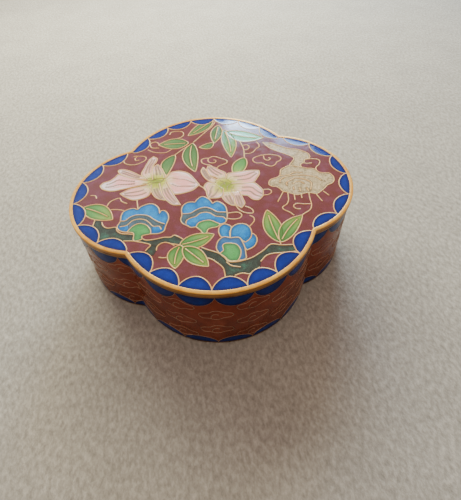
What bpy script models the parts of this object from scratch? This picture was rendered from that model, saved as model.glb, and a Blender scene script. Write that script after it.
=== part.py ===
"""Lobed cloisonne enamel box with a lid that lifts off.

The box is a drum of four lobes, two wide ones at the front and back and two
narrower ones at the sides. The enamelled body is a tray with a brass rim round
its mouth and another under its foot. The lid is an enamelled panel held in a
brass rim, with a collar underneath that drops inside the mouth.

Metres, +Z up. The origin is on the ground under the middle of the box, with
its long way along X and its front towards -Y.
"""

import math

import bmesh
import bpy
from mathutils import Vector

# The whole box, measured over the rim of the lid.
LENGTH = 0.0900
DEPTH = 0.0790
HEIGHT = 0.0295

# A wide lobe and a side lobe would cross here, and a small arc softens the notch.
NOTCH_X = 0.0270
NOTCH_Y = 0.0230
NOTCH_RADIUS = 0.0010

# How far each outline stands back from the one outside it.
MOUTH_RIM_SETBACK = 0.00015
BODY_SETBACK = 0.00035
FOOT_RIM_SETBACK = 0.00015

# The enamelled body and the lid's panel, copper and enamel together.
WALL = 0.0020
FLOOR = 0.0016

# The brass bands.
LID_RIM_HEIGHT = 0.00115
LID_RIM_WIDTH = 0.0015
MOUTH_RIM_HEIGHT = 0.00075
FOOT_RIM_HEIGHT = 0.0007
FOOT_RIM_WIDTH = 0.0018
COLLAR_WALL = 0.0008
COLLAR_DEPTH = 0.0030

# Between pieces that touch, and round the collar so that the lid lifts freely.
SEAM = 0.0003
COLLAR_CLEARANCE = 0.0004

# Rounding of the edges, with its steps, and the steps of the outline's arcs.
BODY_EDGE = 0.0003
BRASS_EDGE = 0.0002
SHOWN_EDGE_STEPS = 2
PLAIN_EDGE_STEPS = 1
EDGE_ANGLE = math.radians(50)
LOBE_STEPS = 20
NOTCH_STEPS = 4

# The shape of the four lobes, worked out so that they reach the full length and
# depth and pass through the crossing points.
HALF_LENGTH = LENGTH / 2
HALF_DEPTH = DEPTH / 2
CROSSING = NOTCH_X ** 2 + NOTCH_Y ** 2
WIDE_CENTRE = (HALF_DEPTH ** 2 - CROSSING) / (2 * (HALF_DEPTH - NOTCH_Y))
SIDE_CENTRE = (HALF_LENGTH ** 2 - CROSSING) / (2 * (HALF_LENGTH - NOTCH_X))
WIDE_RADIUS = HALF_DEPTH - WIDE_CENTRE
SIDE_RADIUS = HALF_LENGTH - SIDE_CENTRE

# Insets from the lid's outline.
MOUTH_RIM_INSET = MOUTH_RIM_SETBACK
BODY_INSET = MOUTH_RIM_INSET + BODY_SETBACK
CAVITY_INSET = BODY_INSET + WALL
FOOT_RIM_INSET = BODY_INSET + FOOT_RIM_SETBACK
PANEL_INSET = LID_RIM_WIDTH + SEAM
COLLAR_INSET = CAVITY_INSET + COLLAR_CLEARANCE

# Levels, from the ground up to the foot's rim and from the lid's face down.
BODY_BOTTOM = FOOT_RIM_HEIGHT + SEAM
LID_BOTTOM = HEIGHT - LID_RIM_HEIGHT
MOUTH_TOP = LID_BOTTOM - SEAM
MOUTH_BOTTOM = MOUTH_TOP - MOUTH_RIM_HEIGHT
BODY_TOP = MOUTH_BOTTOM - SEAM
CAVITY_BOTTOM = BODY_BOTTOM + FLOOR

# The enamel's ground and the brass.
ENAMEL_RED = (0.23, 0.055, 0.040)
BRASS = (0.78, 0.52, 0.22)


def clear_scene():
    """Remove every object of the scene that the script starts in."""
    for obj in list(bpy.data.objects):
        bpy.data.objects.remove(obj, do_unlink=True)


def new_collection(name):
    """Make a collection and link it to the scene."""
    collection = bpy.data.collections.new(name)
    bpy.context.scene.collection.children.link(collection)
    return collection


def new_material(name, colour, roughness, metallic):
    """Make a Principled material."""
    material = bpy.data.materials.new(name)
    material.use_nodes = True
    shader = material.node_tree.nodes["Principled BSDF"]
    shader.inputs["Base Color"].default_value = (*colour, 1.0)
    shader.inputs["Roughness"].default_value = roughness
    shader.inputs["Metallic"].default_value = metallic
    return material


def arc(centre, radius, start, end, steps):
    """Points on an arc from one angle to another, both ends included."""
    angles = [start + (end - start) * step / steps for step in range(steps + 1)]
    return [centre + radius * Vector((math.cos(a), math.sin(a))) for a in angles]


def notch_centre():
    """The centre of the small arc that touches a wide and a side lobe from outside."""
    wide = Vector((0.0, WIDE_CENTRE))
    side = Vector((SIDE_CENTRE, 0.0))
    between = side - wide
    to_wide = WIDE_RADIUS + NOTCH_RADIUS
    to_side = SIDE_RADIUS + NOTCH_RADIUS
    along = (to_wide ** 2 - to_side ** 2 + between.length_squared) / (2 * between.length)
    across = math.sqrt(to_wide ** 2 - along ** 2)
    direction = between.normalized()
    outward = Vector((-direction.y, direction.x))
    return wide + along * direction + across * outward


def lobed_outline(inset):
    """The four-lobed outline, moved inwards by inset, anticlockwise from above."""
    notch = notch_centre()
    to_wide = notch - Vector((0.0, WIDE_CENTRE))
    to_side = notch - Vector((SIDE_CENTRE, 0.0))
    wide_angle = math.atan2(to_wide.y, to_wide.x)
    side_angle = math.atan2(to_side.y, to_side.x)
    quarter = math.pi / 2
    half_side = arc(Vector((SIDE_CENTRE, 0.0)), SIDE_RADIUS - inset, 0.0, side_angle, LOBE_STEPS // 2)
    hollow = arc(notch, NOTCH_RADIUS + inset, side_angle + math.pi, wide_angle + math.pi, NOTCH_STEPS)
    half_wide = arc(Vector((0.0, WIDE_CENTRE)), WIDE_RADIUS - inset, wide_angle, quarter, LOBE_STEPS // 2)
    first = half_side + hollow[1:-1] + half_wide
    second = [Vector((-p.x, p.y)) for p in reversed(first[:-1])]
    upper = first + second
    lower = [Vector((p.x, -p.y)) for p in reversed(upper[1:-1])]
    return upper + lower


def outline_mesh(name, inset, bottom, top, fill):
    """A mesh of the outline between two levels, with caps (BOTH) or as a ribbon (NONE)."""
    curve = bpy.data.curves.new(name, "CURVE")
    curve.dimensions = "2D"
    curve.fill_mode = fill
    curve.extrude = (top - bottom) / 2
    points = lobed_outline(inset)
    spline = curve.splines.new("POLY")
    spline.points.add(len(points) - 1)
    for target, point in zip(spline.points, points):
        target.co = (point.x, point.y, 0.0, 1.0)
    spline.use_cyclic_u = True
    holder = bpy.data.objects.new(name, curve)
    bpy.context.scene.collection.objects.link(holder)
    bpy.context.view_layer.update()
    graph = bpy.context.evaluated_depsgraph_get()
    mesh = bpy.data.meshes.new_from_object(holder.evaluated_get(graph))
    bpy.data.objects.remove(holder, do_unlink=True)
    bpy.data.curves.remove(curve)
    cleaned = bmesh.new()
    cleaned.from_mesh(mesh)
    bmesh.ops.remove_doubles(cleaned, verts=cleaned.verts, dist=1e-6)
    bmesh.ops.recalc_face_normals(cleaned, faces=cleaned.faces)
    cleaned.to_mesh(mesh)
    cleaned.free()
    mesh.name = name
    return mesh


def place(name, mesh, level, collection):
    """Make an object of a mesh, with its middle at a level."""
    obj = bpy.data.objects.new(name, mesh)
    obj.location.z = level
    collection.objects.link(obj)
    return obj


def round_edges(obj, width, steps):
    """Round the edges that turn by more than the outline's own steps do."""
    bevel = obj.modifiers.new("rounded edges", "BEVEL")
    bevel.width = width
    bevel.segments = steps
    bevel.limit_method = "ANGLE"
    bevel.angle_limit = EDGE_ANGLE


def plate(name, inset, bottom, top, collection):
    """A solid slab of the lobed outline."""
    mesh = outline_mesh(name, inset, bottom, top, "BOTH")
    return place(name, mesh, (bottom + top) / 2, collection)


def band(name, inset, width, bottom, top, edge_steps, collection):
    """A brass band that follows the outline, thickened inwards from its outer face."""
    mesh = outline_mesh(name, inset, bottom, top, "NONE")
    obj = place(name, mesh, (bottom + top) / 2, collection)
    solidify = obj.modifiers.new("width", "SOLIDIFY")
    solidify.thickness = width
    solidify.offset = -1.0
    solidify.use_even_offset = True
    round_edges(obj, BRASS_EDGE, edge_steps)
    return obj


def finish(obj, material):
    """Give a piece its material and smooth shading with sharp corners."""
    obj.data.materials.append(material)
    obj.data.shade_smooth()
    obj.data.set_sharp_from_angle(angle=EDGE_ANGLE)


def make_body(pieces, cutters, enamel):
    """The enamelled tray, one piece with its floor, hollow under the lid."""
    body = plate("body", BODY_INSET, BODY_BOTTOM, BODY_TOP, pieces)
    above = BODY_TOP + WALL
    cavity = plate("body_cavity", CAVITY_INSET, CAVITY_BOTTOM, above, cutters)
    cavity.hide_render = True
    cavity.display_type = "WIRE"
    hollow = body.modifiers.new("hollow", "BOOLEAN")
    hollow.object = cavity
    hollow.operation = "DIFFERENCE"
    hollow.solver = "EXACT"
    round_edges(body, BODY_EDGE, PLAIN_EDGE_STEPS)
    finish(body, enamel)


def make_foot_rim(pieces, brass):
    """The brass band that the box stands on."""
    size = (FOOT_RIM_INSET, FOOT_RIM_WIDTH, 0.0, FOOT_RIM_HEIGHT)
    foot = band("foot_rim", *size, PLAIN_EDGE_STEPS, pieces)
    finish(foot, brass)


def make_mouth_rim(pieces, brass):
    """The brass band on top of the wall, which the lid rests on."""
    width = CAVITY_INSET - MOUTH_RIM_INSET
    size = (MOUTH_RIM_INSET, width, MOUTH_BOTTOM, MOUTH_TOP)
    mouth = band("mouth_rim", *size, PLAIN_EDGE_STEPS, pieces)
    finish(mouth, brass)


def make_lid_rim(pieces, brass):
    """The brass band round the lid."""
    size = (0.0, LID_RIM_WIDTH, LID_BOTTOM, HEIGHT)
    rim = band("lid_rim", *size, SHOWN_EDGE_STEPS, pieces)
    finish(rim, brass)


def make_lid_panel(pieces, enamel):
    """The lid's enamelled panel, flush with its rim above and below."""
    panel = plate("lid_panel", PANEL_INSET, LID_BOTTOM, HEIGHT, pieces)
    finish(panel, enamel)


def make_lid_collar(pieces, brass):
    """The collar under the lid, which drops inside the mouth and keeps the lid in place."""
    top = LID_BOTTOM - SEAM
    size = (COLLAR_INSET, COLLAR_WALL, top - COLLAR_DEPTH, top)
    collar = band("lid_collar", *size, PLAIN_EDGE_STEPS, pieces)
    finish(collar, brass)


def main():
    """Build the box."""
    clear_scene()
    pieces = new_collection("cloisonne_box")
    cutters = new_collection("cutters")
    enamel = new_material("enamel", ENAMEL_RED, 0.28, 0.0)
    brass = new_material("brass", BRASS, 0.30, 1.0)
    make_body(pieces, cutters, enamel)
    make_foot_rim(pieces, brass)
    make_mouth_rim(pieces, brass)
    make_lid_rim(pieces, brass)
    make_lid_panel(pieces, enamel)
    make_lid_collar(pieces, brass)


main()
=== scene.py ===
# %% [markdown]
# # A lobed cloisonne enamel box
#
# The box is a shallow tray with a lid that lifts off. Both are thin copper with wires soldered on
# edge, coloured glass fired between the wires, and a brass band round each rim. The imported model
# gives the solids, so this file first loads it, and then dresses it with wires and enamel.

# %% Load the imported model
import math

import bpy
import numpy as np
from mathutils import Matrix, Vector


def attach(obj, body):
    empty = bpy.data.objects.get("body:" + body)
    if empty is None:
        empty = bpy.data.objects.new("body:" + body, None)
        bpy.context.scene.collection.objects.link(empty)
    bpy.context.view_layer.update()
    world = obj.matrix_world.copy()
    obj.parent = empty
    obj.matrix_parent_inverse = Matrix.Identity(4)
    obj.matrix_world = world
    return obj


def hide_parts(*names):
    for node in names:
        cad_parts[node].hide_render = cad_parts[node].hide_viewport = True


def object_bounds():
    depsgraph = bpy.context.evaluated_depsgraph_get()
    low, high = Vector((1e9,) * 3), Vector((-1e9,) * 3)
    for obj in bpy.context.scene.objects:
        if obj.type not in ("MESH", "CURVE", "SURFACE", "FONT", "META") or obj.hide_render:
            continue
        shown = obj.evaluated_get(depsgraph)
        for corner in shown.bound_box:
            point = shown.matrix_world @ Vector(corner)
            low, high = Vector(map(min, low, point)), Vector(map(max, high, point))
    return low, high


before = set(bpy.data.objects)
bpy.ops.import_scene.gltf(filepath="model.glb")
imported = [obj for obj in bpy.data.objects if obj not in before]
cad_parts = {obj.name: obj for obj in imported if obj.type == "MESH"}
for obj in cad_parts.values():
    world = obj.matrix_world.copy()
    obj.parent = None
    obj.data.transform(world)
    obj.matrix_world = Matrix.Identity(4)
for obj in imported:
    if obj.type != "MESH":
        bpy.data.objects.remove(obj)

cad_low, cad_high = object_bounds()
MM = 0.001
HALF_LENGTH = cad_high.x / MM
HALF_DEPTH = cad_high.y / MM
TOP = cad_high.z / MM
print("box", 2 * HALF_LENGTH, "x", 2 * HALF_DEPTH, "x", TOP, "mm, nodes", sorted(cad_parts))

# %% [markdown]
# ## The outline that everything follows
#
# Seen from above the box has four lobes, and each is an arc of a circle. The arcs of a wide and a
# side lobe would cross in a sharp notch, which a small arc softens. An inset only changes the radii
# of these arcs, so outlines at any inset run exactly parallel. That is why the outline is written as
# arcs here, and not as a list of points. All lengths are in millimetres until a mesh is made.

# %% Work out the four lobes
NOTCH_X = 27.0
NOTCH_Y = 23.0
NOTCH_RADIUS = 1.0

crossing = NOTCH_X ** 2 + NOTCH_Y ** 2
WIDE_CENTRE = (HALF_DEPTH ** 2 - crossing) / (2 * (HALF_DEPTH - NOTCH_Y))
SIDE_CENTRE = (HALF_LENGTH ** 2 - crossing) / (2 * (HALF_LENGTH - NOTCH_X))
WIDE_RADIUS = HALF_DEPTH - WIDE_CENTRE
SIDE_RADIUS = HALF_LENGTH - SIDE_CENTRE

# The small arc touches both lobes from outside, which fixes its centre.
front = np.array([0.0, -WIDE_CENTRE])
side = np.array([SIDE_CENTRE, 0.0])
between = np.linalg.norm(side - front)
to_front = WIDE_RADIUS + NOTCH_RADIUS
to_side = SIDE_RADIUS + NOTCH_RADIUS
reach = (to_front ** 2 - to_side ** 2 + between ** 2) / (2 * between)
direction = (side - front) / between
sideways = np.array([direction[1], -direction[0]])
NOTCH = front + reach * direction + math.sqrt(to_front ** 2 - reach ** 2) * sideways
WIDE_END = math.atan2(NOTCH[1] - front[1], NOTCH[0] - front[0])
SIDE_START = math.atan2(NOTCH[1] - side[1], NOTCH[0] - side[0])
print("notch centre", NOTCH.round(2), "radii", round(WIDE_RADIUS, 2), round(SIDE_RADIUS, 2))


# %% Draw the outline at any inset
def arc(centre, radius, start, end, steps):
    """Points on an arc, both ends included."""
    angles = np.linspace(start, end, steps + 1)
    return np.asarray(centre) + radius * np.column_stack([np.cos(angles), np.sin(angles)])


def lobed_outline(inset):
    """The outline at an inset, anticlockwise from the middle of the front."""
    wide = arc(front, WIDE_RADIUS - inset, -math.pi / 2, WIDE_END, 30)
    hollow = arc(NOTCH, NOTCH_RADIUS + inset, WIDE_END + math.pi, SIDE_START + math.pi, 6)
    lobe = arc(side, SIDE_RADIUS - inset, SIDE_START, 0.0, 28)
    quarter = np.vstack([wide, hollow[1:-1], lobe])
    back = quarter[::-1] * (1, -1)
    left = quarter[::-1] * (-1, 1)
    return np.vstack([quarter[:-1], back[:-1], -quarter[:-1], left[:-1]])


EDGE = lobed_outline(0.0)
OUTWARD = EDGE - lobed_outline(1.0)
AROUND = len(EDGE)
print("the outline has", AROUND, "points")


# %% Measure along the outline
def ring(points):
    """A closed run of points, with the first one again at the end."""
    return np.vstack([points, points[:1]])


def distances_round(inset):
    """How far each point of the outline lies from the middle of the front."""
    steps = np.linalg.norm(np.diff(ring(EDGE - inset * OUTWARD), axis=0), axis=1)
    return np.concatenate([[0.0], np.cumsum(steps)])


def border(distance, inset, track):
    """Points on the plan at distances round the box and at insets from its edge."""
    place = np.interp(np.mod(distance, track[-1]), track, np.arange(len(track)))
    index = np.arange(AROUND + 1)
    edge = ring(EDGE)
    outward = ring(OUTWARD)
    x = np.interp(place, index, edge[:, 0]) - inset * np.interp(place, index, outward[:, 0])
    y = np.interp(place, index, edge[:, 1]) - inset * np.interp(place, index, outward[:, 1])
    return np.column_stack([x, y])


LID_TRACK = distances_round(1.5)
WALL_INSET = 0.5
WALL_TRACK = distances_round(WALL_INSET)
print("round the lid", round(LID_TRACK[-1], 1), "mm, round the wall", round(WALL_TRACK[-1], 1), "mm")

# %% [markdown]
# ## The camera
#
# The camera looks from the front and above, about twelve centimetres from the middle of the lid. Its
# place, its turn and its lens are chosen so that the rim of the lid and the lower edge of the box
# land where they do in the photograph. The picture's middle isn't on the lens's axis, hence the shift.

# %% Set up the camera
AZIMUTH = math.radians(-6.86)
ELEVATION = math.radians(46.81)
ROLL = math.radians(-1.70)

camera_data = bpy.data.cameras.new("camera")
camera_data.lens = 27.58
camera_data.sensor_width = 36.0
camera_data.shift_y = -0.08
camera_data.clip_start = 0.01
camera = bpy.data.objects.new("camera", camera_data)
bpy.context.scene.collection.objects.link(camera)
turned = Matrix.Rotation(AZIMUTH, 4, "Z") @ Matrix.Rotation(math.pi / 2 - ELEVATION, 4, "X")
turned = turned @ Matrix.Rotation(ROLL, 4, "Z")
camera.matrix_world = Matrix.Translation(Vector((-5.49, -89.67, 113.64)) * MM) @ turned
bpy.context.scene.camera = camera
print("camera at", [round(value / MM, 1) for value in camera.location], "mm")


# %% [markdown]
# ## Small helpers for materials
#
# A material here is a few textures that feed one shader. The textures read the object's own
# coordinates, turned into millimetres, so that a scale of 2 means two specks to a millimetre.

# %% Write the material helpers
def new_material(name):
    """A material and its shader."""
    material = bpy.data.materials.new(name)
    material.use_nodes = True
    return material, material.node_tree.nodes["Principled BSDF"]


def put(material, kind, **values):
    """Add a node and set some of its inputs by name."""
    made = material.node_tree.nodes.new(kind)
    for key, value in values.items():
        made.inputs[key].default_value = value
    return made


def link(material, source, target):
    """Join an output to an input."""
    material.node_tree.links.new(source, target)


def in_millimetres(material, stretch=(1.0, 1.0, 1.0)):
    """The object's coordinates in millimetres."""
    coordinates = put(material, "ShaderNodeTexCoord")
    scaled = put(material, "ShaderNodeMapping", Scale=[value / MM for value in stretch])
    link(material, coordinates.outputs["Object"], scaled.inputs["Vector"])
    return scaled.outputs["Vector"]


def noise(material, vector, scale, detail=3.0, roughness=0.55):
    """A soft noise between 0 and 1."""
    made = put(material, "ShaderNodeTexNoise", Scale=scale, Detail=detail, Roughness=roughness)
    link(material, vector, made.inputs["Vector"])
    return made.outputs[0]


def calculate(material, operation, first, second):
    """Add, multiply or raise two values; each is a socket or a plain number."""
    made = put(material, "ShaderNodeMath")
    made.operation = operation
    for socket, value in zip(made.inputs, (first, second)):
        if isinstance(value, bpy.types.NodeSocket):
            link(material, value, socket)
        else:
            socket.default_value = value
    return made.outputs[0]


# %% Write the helpers for colours
def ramp(material, factor, stops):
    """Colours at places along a factor, as (place, colour) pairs."""
    made = put(material, "ShaderNodeValToRGB")
    elements = made.color_ramp.elements
    while len(elements) < len(stops):
        elements.new(0.5)
    for element, (place, colour) in zip(elements, stops):
        element.position = place
        element.color = (*colour, 1.0)
    link(material, factor, made.inputs["Fac"])
    return made.outputs["Color"]


def spread(material, value, low, high, to_low, to_high):
    """Stretch a range of values to another range, and hold it there."""
    made = put(material, "ShaderNodeMapRange")
    link(material, value, made.inputs["Value"])
    made.inputs["From Min"].default_value = low
    made.inputs["From Max"].default_value = high
    made.inputs["To Min"].default_value = to_low
    made.inputs["To Max"].default_value = to_high
    return made.outputs["Result"]


def blend_colours(material, factor, first, second, kind="MIX"):
    """Mix two colours; each is a socket or a plain colour, and so is the factor."""
    made = put(material, "ShaderNodeMix")
    made.data_type = "RGBA"
    made.blend_type = kind
    for socket, value in ((made.inputs[0], factor), (made.inputs[6], first), (made.inputs[7], second)):
        if isinstance(value, bpy.types.NodeSocket):
            link(material, value, socket)
        elif isinstance(value, tuple):
            socket.default_value = (*value, 1.0)
        else:
            socket.default_value = value
    return made.outputs[2]


def bump(material, shader, height, depth, strength=1.0):
    """Let a height in millimetres tilt the surface."""
    made = put(material, "ShaderNodeBump", Strength=strength, Distance=depth * MM)
    link(material, height, made.inputs["Height"])
    link(material, made.outputs["Normal"], shader.inputs["Normal"])


print("material helpers are ready")

# %% [markdown]
# ## Floor
#
# The box stands on something pale with a short pile, like suede. Seen from here the pile is a fine
# grain of lighter and darker specks, about a millimetre across. It is stroked one way, so the specks
# are a little longer one way than the other. A stretched noise gives the specks, and the same noise
# tilts the surface, so that they catch the light too.

# %% Lay the floor
bpy.ops.object.select_all(action="DESELECT")
bpy.ops.mesh.primitive_plane_add(size=3.0, location=(0.0, 0.0, 0.0))
floor = bpy.context.object
floor.name = "floor"
floor_cloth, shader = new_material("floor_cloth")
flat = in_millimetres(floor_cloth)
turned_cloth = put(floor_cloth, "ShaderNodeMapping", Scale=(1.0, 0.62, 1.0))
turned_cloth.inputs["Rotation"].default_value = (0.0, 0.0, math.radians(35))
link(floor_cloth, flat, turned_cloth.inputs["Vector"])
pile = noise(floor_cloth, turned_cloth.outputs["Vector"], 0.85, 4.0, 0.68)
wide = noise(floor_cloth, flat, 0.05, 3.0, 0.6)
specks = ramp(floor_cloth, pile, [(0.30, (0.27, 0.24, 0.205)), (0.5, (0.385, 0.345, 0.295)),
                                  (0.70, (0.52, 0.47, 0.41))])
patchy = spread(floor_cloth, wide, 0.35, 0.65, 0.95, 1.05)
tone = blend_colours(floor_cloth, 1.0, specks, patchy, "MULTIPLY")
link(floor_cloth, tone, shader.inputs["Base Color"])
shader.inputs["Roughness"].default_value = 0.95
shader.inputs["Specular IOR Level"].default_value = 0.2
bump(floor_cloth, shader, pile, 0.45, 0.5)
floor.data.materials.append(floor_cloth)
print("floor laid")

# %% [markdown]
# ## Light
#
# The room is dim and warm, with a tall window of two panes behind the box on the right. The box is
# lit from the back, so the side that faces the camera is in shade, and the glossy lid mirrors the
# window near its far edge. Area lights stand for the panes and for the brightest part of the window.
# A wide one above and behind the box, a little to the left, stands for the light that the ceiling
# sends down, and nothing mirrors it. Each is given by how bright its face looks, because that is
# what a reflection shows. The rest of the room is a warm grey, with a pale glow towards the back left.


# %% Set up the window and the ceiling
def glowing_panel(name, place, size, aim, brightness, colour):
    """An area light of a size, given by the brightness of its face. Lengths are in millimetres."""
    data = bpy.data.lights.new(name, "AREA")
    data.shape = "RECTANGLE"
    data.size = size[0] * MM
    data.size_y = size[1] * MM
    data.energy = math.pi * data.size * data.size_y * brightness
    data.color = colour
    panel = bpy.data.objects.new(name, data)
    bpy.context.scene.collection.objects.link(panel)
    panel.location = Vector(place) * MM
    aimed = Vector(aim) * MM - panel.location
    panel.rotation_euler = aimed.to_track_quat("-Z", "Y").to_euler()
    panel.visible_camera = False
    print(name, round(data.energy, 2), "W")
    return panel


SKYLIGHT = (0.45, 0.76, 1.15)
glowing_panel("left_pane", (110, 520, 237), (100, 315), (110, 0, 237), 13.0, SKYLIGHT)
glowing_panel("right_pane", (215, 520, 252), (105, 345), (215, 0, 252), 15.0, SKYLIGHT)
glowing_panel("bright_spot", (104, 515, 336), (76, 64), (104, 0, 336), 36.0, (0.66, 0.84, 1.0))
ceiling = glowing_panel("ceiling", (-30, 262, 198), (325, 180), (0, 60, 0), 13.8, (0.97, 1.0, 0.79))
ceiling.visible_glossy = False

# %% Light the room
GLOW_DIRECTION = (-0.45, 0.77, 0.45)
GLOW_SHARPNESS = 26.0
DIM_WALLS = (0.64, 0.53, 0.455)
PALE_GLOW = (1.8, 2.1, 2.6)

world = bpy.data.worlds.new("room")
world.use_nodes = True
room = world.node_tree.nodes["Background"]
looking = put(world, "ShaderNodeTexCoord")
towards_glow = put(world, "ShaderNodeVectorMath")
towards_glow.operation = "DOT_PRODUCT"
towards_glow.inputs[1].default_value = GLOW_DIRECTION
link(world, looking.outputs["Generated"], towards_glow.inputs[0])
facing = calculate(world, "MAXIMUM", towards_glow.outputs["Value"], 0.0)
glow = calculate(world, "POWER", facing, GLOW_SHARPNESS)
link(world, blend_colours(world, glow, DIM_WALLS, PALE_GLOW), room.inputs["Color"])
bpy.context.scene.world = world
print("the room is lit")


# %% [markdown]
# ## Brass bands
#
# Each rim is a strip of brass bent round the box and soldered on. The box is lit from the back, so
# the side of the lid's band is painted browner and darker than its top, as painted shade, and the
# bands of the mouth and the foot are of a darker brass, also painted shade. The band is made from a
# circle that is extruded once for each point of its cross-section. Then every ring is laid on the
# outline at that point's inset and level. A curve with a bevel would pinch in the notches, which
# this doesn't.

# %% Write the helper that sweeps a cross-section round the box
def choose(*pieces):
    """Select these pieces alone, and make the first one active."""
    bpy.ops.object.select_all(action="DESELECT")
    for piece in pieces:
        piece.select_set(True)
    bpy.context.view_layer.objects.active = pieces[0]


def points_of(mesh):
    """The mesh's points as rows of three numbers."""
    flat_list = np.empty(3 * len(mesh.vertices))
    mesh.vertices.foreach_get("co", flat_list)
    return flat_list.reshape(-1, 3)


def sweep(name, profile):
    """Sweep a profile of (inset, level) points round the box, and close what it leaves open."""
    bpy.ops.object.select_all(action="DESELECT")
    bpy.ops.mesh.primitive_circle_add(vertices=AROUND, radius=1.0)
    piece = bpy.context.object
    piece.name = name
    bpy.ops.object.mode_set(mode="EDIT")
    bpy.ops.mesh.select_all(action="SELECT")
    for _ in profile[1:]:
        bpy.ops.mesh.extrude_region_move(TRANSFORM_OT_translate={"value": (0.0, 0.0, 1.0)})
    bpy.ops.object.mode_set(mode="OBJECT")

    points = points_of(piece.data)
    angle = np.arctan2(points[:, 1], points[:, 0]) + math.pi / 2
    around = np.rint(angle / (2 * math.pi) * AROUND).astype(int) % AROUND
    level = np.rint(points[:, 2]).astype(int)
    inset = np.array(profile)[level, 0]
    height = np.array(profile)[level, 1]
    plan = EDGE[around] - inset[:, None] * OUTWARD[around]
    piece.data.vertices.foreach_set("co", (np.column_stack([plan, height]) * MM).ravel())

    bpy.ops.object.mode_set(mode="EDIT")
    bpy.ops.mesh.select_all(action="SELECT")
    bpy.ops.mesh.remove_doubles(threshold=1e-7)
    bpy.ops.mesh.fill_holes(sides=0)
    bpy.ops.mesh.select_all(action="SELECT")
    bpy.ops.mesh.normals_make_consistent(inside=False)
    bpy.ops.object.mode_set(mode="OBJECT")
    bpy.ops.object.shade_smooth_by_angle(angle=math.radians(40))
    return piece


# %% Draw the cross-sections of the bands
def rounded_band(outer, inner, bottom, top, radius):
    """The closed cross-section of a band, with its four corners rounded."""
    corners = [
        (outer + radius, bottom + radius, math.pi, 1.5 * math.pi),
        (inner - radius, bottom + radius, 1.5 * math.pi, 2 * math.pi),
        (inner - radius, top - radius, 0.0, math.pi / 2),
        (outer + radius, top - radius, math.pi / 2, math.pi),
    ]
    section = np.vstack([arc((x, z), radius, start, end, 3) for x, z, start, end in corners])
    return [tuple(point) for point in ring(section)]


def crowned_band(width, bottom, top, crown):
    """The closed cross-section of a band whose top is worn to a low curve."""
    turn = np.linspace(0.0, math.pi, 13)
    inset = width / 2 * (1 + np.sign(np.cos(turn)) * np.abs(np.cos(turn)) ** 0.7)
    level = top - crown * (1 - np.sin(turn).clip(0.0) ** 0.7)
    section = np.vstack([[(0.2, bottom), (width, bottom)], np.column_stack([inset, level]),
                         [(0.0, bottom + 0.2)]])
    return [tuple(point) for point in ring(section)]


def dress(piece, material, slot, *nodes):
    """Give a piece its material and the root body, and hide the nodes that it stands for. The slot is not
    used.
    """
    piece.data.materials.clear()
    piece.data.materials.append(material)
    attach(piece, "root")
    if nodes:
        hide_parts(*nodes)
    print(piece.name, len(piece.data.polygons), "faces")


# %% Mix the brass
TARNISH = (0.16, 0.08, 0.035)


def metal(name, bright, dull, roughness, spots=0.5, metallic=1.0):
    """Gilt or brass that is bright in places and tarnished in others, with a few dark spots.

    The light from the ceiling isn't mirrored, so a full metal would come out too dark under it.
    """
    material, shader = new_material(name)
    where = in_millimetres(material)
    patches = noise(material, where, 0.22, 4.0, 0.6)
    marks = noise(material, where, 2.2, 5.0, 0.7)
    colour = ramp(material, patches, [(0.36, dull), (0.56, bright)])
    streaks = spread(material, marks, 0.3, 0.7, 0.78, 1.0)
    colour = blend_colours(material, 1.0, colour, streaks, "MULTIPLY")
    grime = spread(material, noise(material, where, 0.75, 3.0, 0.6), 0.62, 0.70, 0.0, spots)
    colour = blend_colours(material, grime, colour, TARNISH)
    link(material, colour, shader.inputs["Base Color"])
    shader.inputs["Metallic"].default_value = metallic
    link(material, spread(material, marks, 0.3, 0.7, roughness + 0.1, roughness - 0.06),
         shader.inputs["Roughness"])
    bump(material, shader, marks, 0.015, 0.5)
    return material, shader, colour, where


# Below these heights the lid band's side is painted darker and browner, as painted shade; above them its top
# keeps the brass colour.
SHADE_BELOW = 29.16
UNSHADED_ABOVE = 29.34
SHADED_SIDE = (0.26, 0.115, 0.035)
rim_brass, shader, top_brass, where = metal("rim_brass", (1.0, 0.51, 0.08), (0.88, 0.37, 0.04), 0.30,
                                           0.45, metallic=0.4)
height_on_rim = put(rim_brass, "ShaderNodeSeparateXYZ")
link(rim_brass, where, height_on_rim.inputs["Vector"])
shade_on_side = spread(rim_brass, height_on_rim.outputs["Z"], SHADE_BELOW, UNSHADED_ABOVE, 0.9, 0.0)
side_in_shade = blend_colours(rim_brass, shade_on_side, top_brass, SHADED_SIDE)
link(rim_brass, side_in_shade, shader.inputs["Base Color"])
# shade_brass is the same brass painted darker all over, as painted shade, for the mouth and foot bands and
# the collar, which lie in shade.
shade_brass = metal("shade_brass", (0.36, 0.19, 0.075), (0.18, 0.085, 0.035), 0.36, 0.8)[0]
print("brass mixed")

# %% Make the three bands
LID_BOTTOM = 28.2
MOUTH_TOP = 28.1
WALL_TOP = 27.0
FOOT_TOP = 1.0
INNER_WALL = 2.5

lid_band = sweep("lid_band", crowned_band(1.18, LID_BOTTOM, TOP, 0.22))
dress(lid_band, rim_brass, "brass", "lid_rim")
mouth_band = sweep("mouth_band", rounded_band(0.15, INNER_WALL, WALL_TOP, MOUTH_TOP, 0.3))
dress(mouth_band, shade_brass, "brass", "mouth_rim")
foot_band = sweep("foot_band", rounded_band(0.6, 2.4, 0.0, FOOT_TOP, 0.2))
dress(foot_band, shade_brass, "brass", "foot_rim")
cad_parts["lid_collar"].data.materials.clear()
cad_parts["lid_collar"].data.materials.append(shade_brass)


# %% [markdown]
# ## Enamel
#
# Enamel is coloured glass powder, fired until it melts and then ground level with the wires. Under
# its gloss the colour is cloudy, with fine grains of the powder, small pits that the grinding
# opened, and a darker edge where it meets a wire. One function makes every enamel from the colour
# that it is given, so that all of them share this finish. The wall's are less glossy than the lid's,
# so that the sides stay as dark as they are in the picture.

# %% Write the enamel finish
WIRE_EDGE = 0.22
PIT_COLOUR = (0.03, 0.02, 0.02)


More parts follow.
